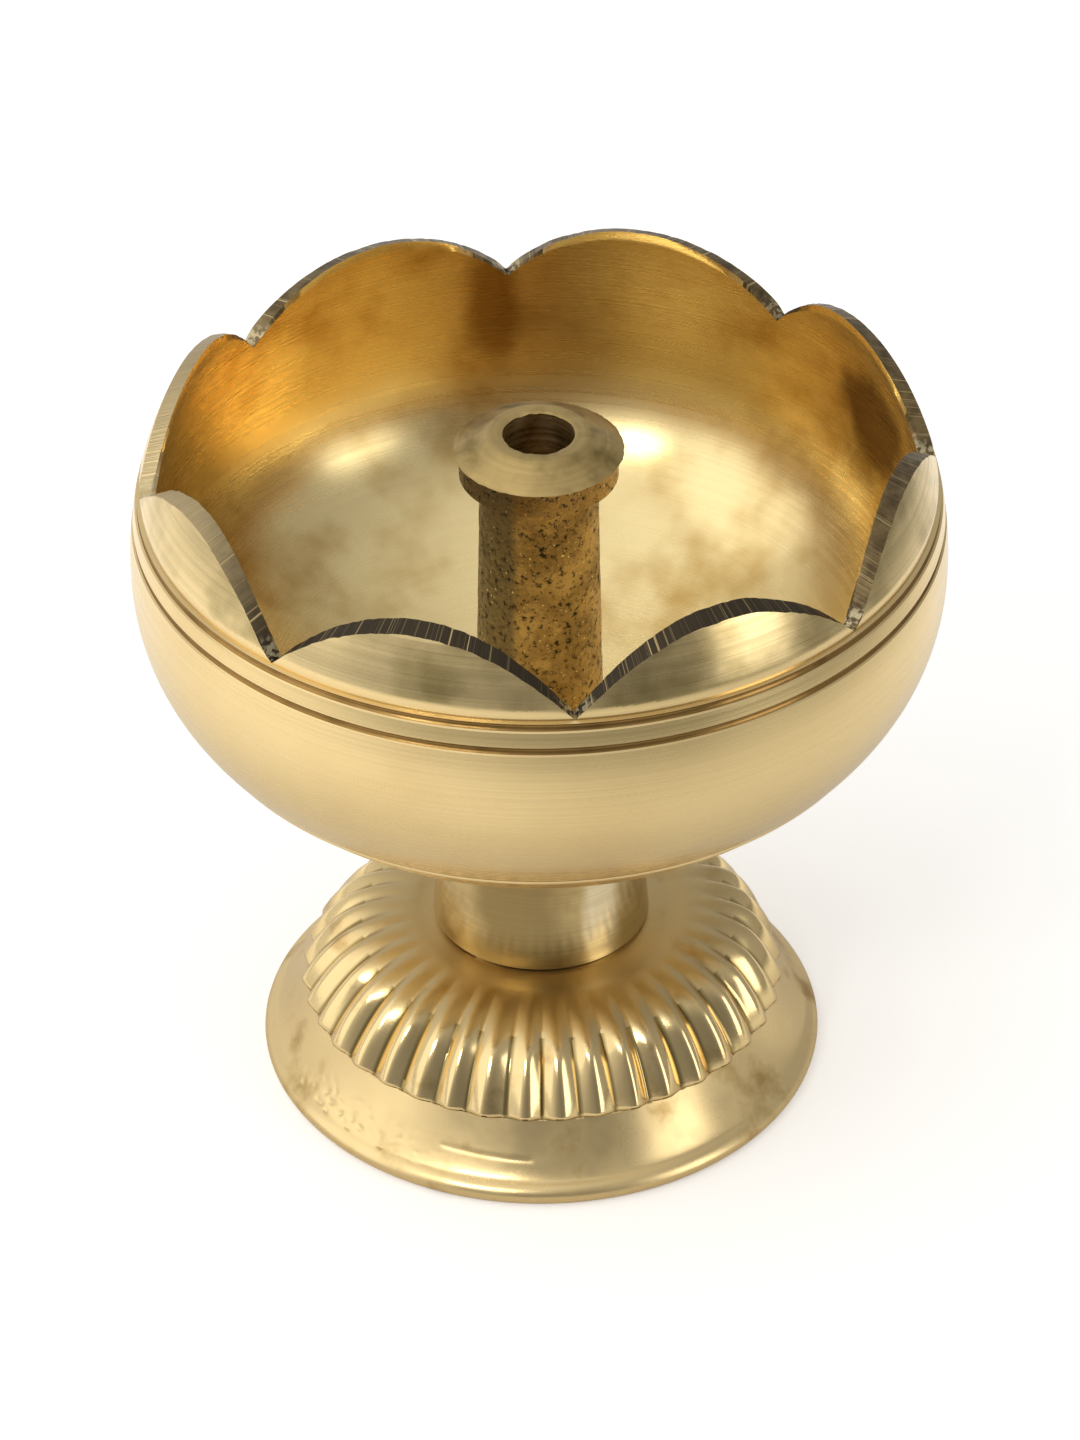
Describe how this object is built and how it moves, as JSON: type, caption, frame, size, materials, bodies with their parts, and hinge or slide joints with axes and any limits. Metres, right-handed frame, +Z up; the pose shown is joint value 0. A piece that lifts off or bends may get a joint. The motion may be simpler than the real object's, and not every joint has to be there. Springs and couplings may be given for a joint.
{
  "type": "diya oil lamp",
  "caption": "Lotus-rimmed brass oil lamp bowl on a short stem and gadrooned foot, with a hollow wick holder that screws out of the bowl.",
  "frame": {"origin": "on the surface the lamp stands on, under the middle of the foot", "axes": "+Z up along the lamp's axis, front of the lamp towards -Y"},
  "size_m": [0.07, 0.07, 0.0667],
  "materials": {
    "foot_brass": "cast brass, buffed to a gloss on the ribs, unevenly polished on the flange",
    "stem_brass": "turned brass with fine brushed rings, satin",
    "bowl_brass": "turned brass, satin outside, soft brushed inside, rough sawn rim",
    "holder_brass": "as-turned head and rough pitted column",
    "plated_steel": "zinc plated",
    "seal_fibre": "matt red-brown pressed fibre"
  },
  "bodies": {
    "pedestal": {"foot": "foot_brass", "foot_washer": "plated_steel", "foot_bolt": "plated_steel", "stem": "stem_brass"},
    "bowl": {"bowl": "bowl_brass"},
    "seal_washer": {"seal_washer": "seal_fibre"},
    "wick_holder": {"wick_holder": "holder_brass"}
  },
  "joints": [
    {"name": "bowl_lift", "type": "slide", "parent": "pedestal", "child": "bowl", "axis": [0, 0, 1], "range_m": [0, 0.02]},
    {"name": "holder_unscrew", "type": "hinge", "parent": "bowl", "child": "seal_washer", "pos_m": [0, 0, 0.0332], "axis": [0, 0, 1], "range_deg": [0, 2160]},
    {"name": "holder_rise", "type": "slide", "parent": "seal_washer", "child": "wick_holder", "axis": [0, 0, 1], "range_m": [0, 0.006]}
  ],
  "couplings": [
    {"joint": "holder_unscrew", "follows": "holder_rise", "rad_per_m": 6283.2}
  ]
}
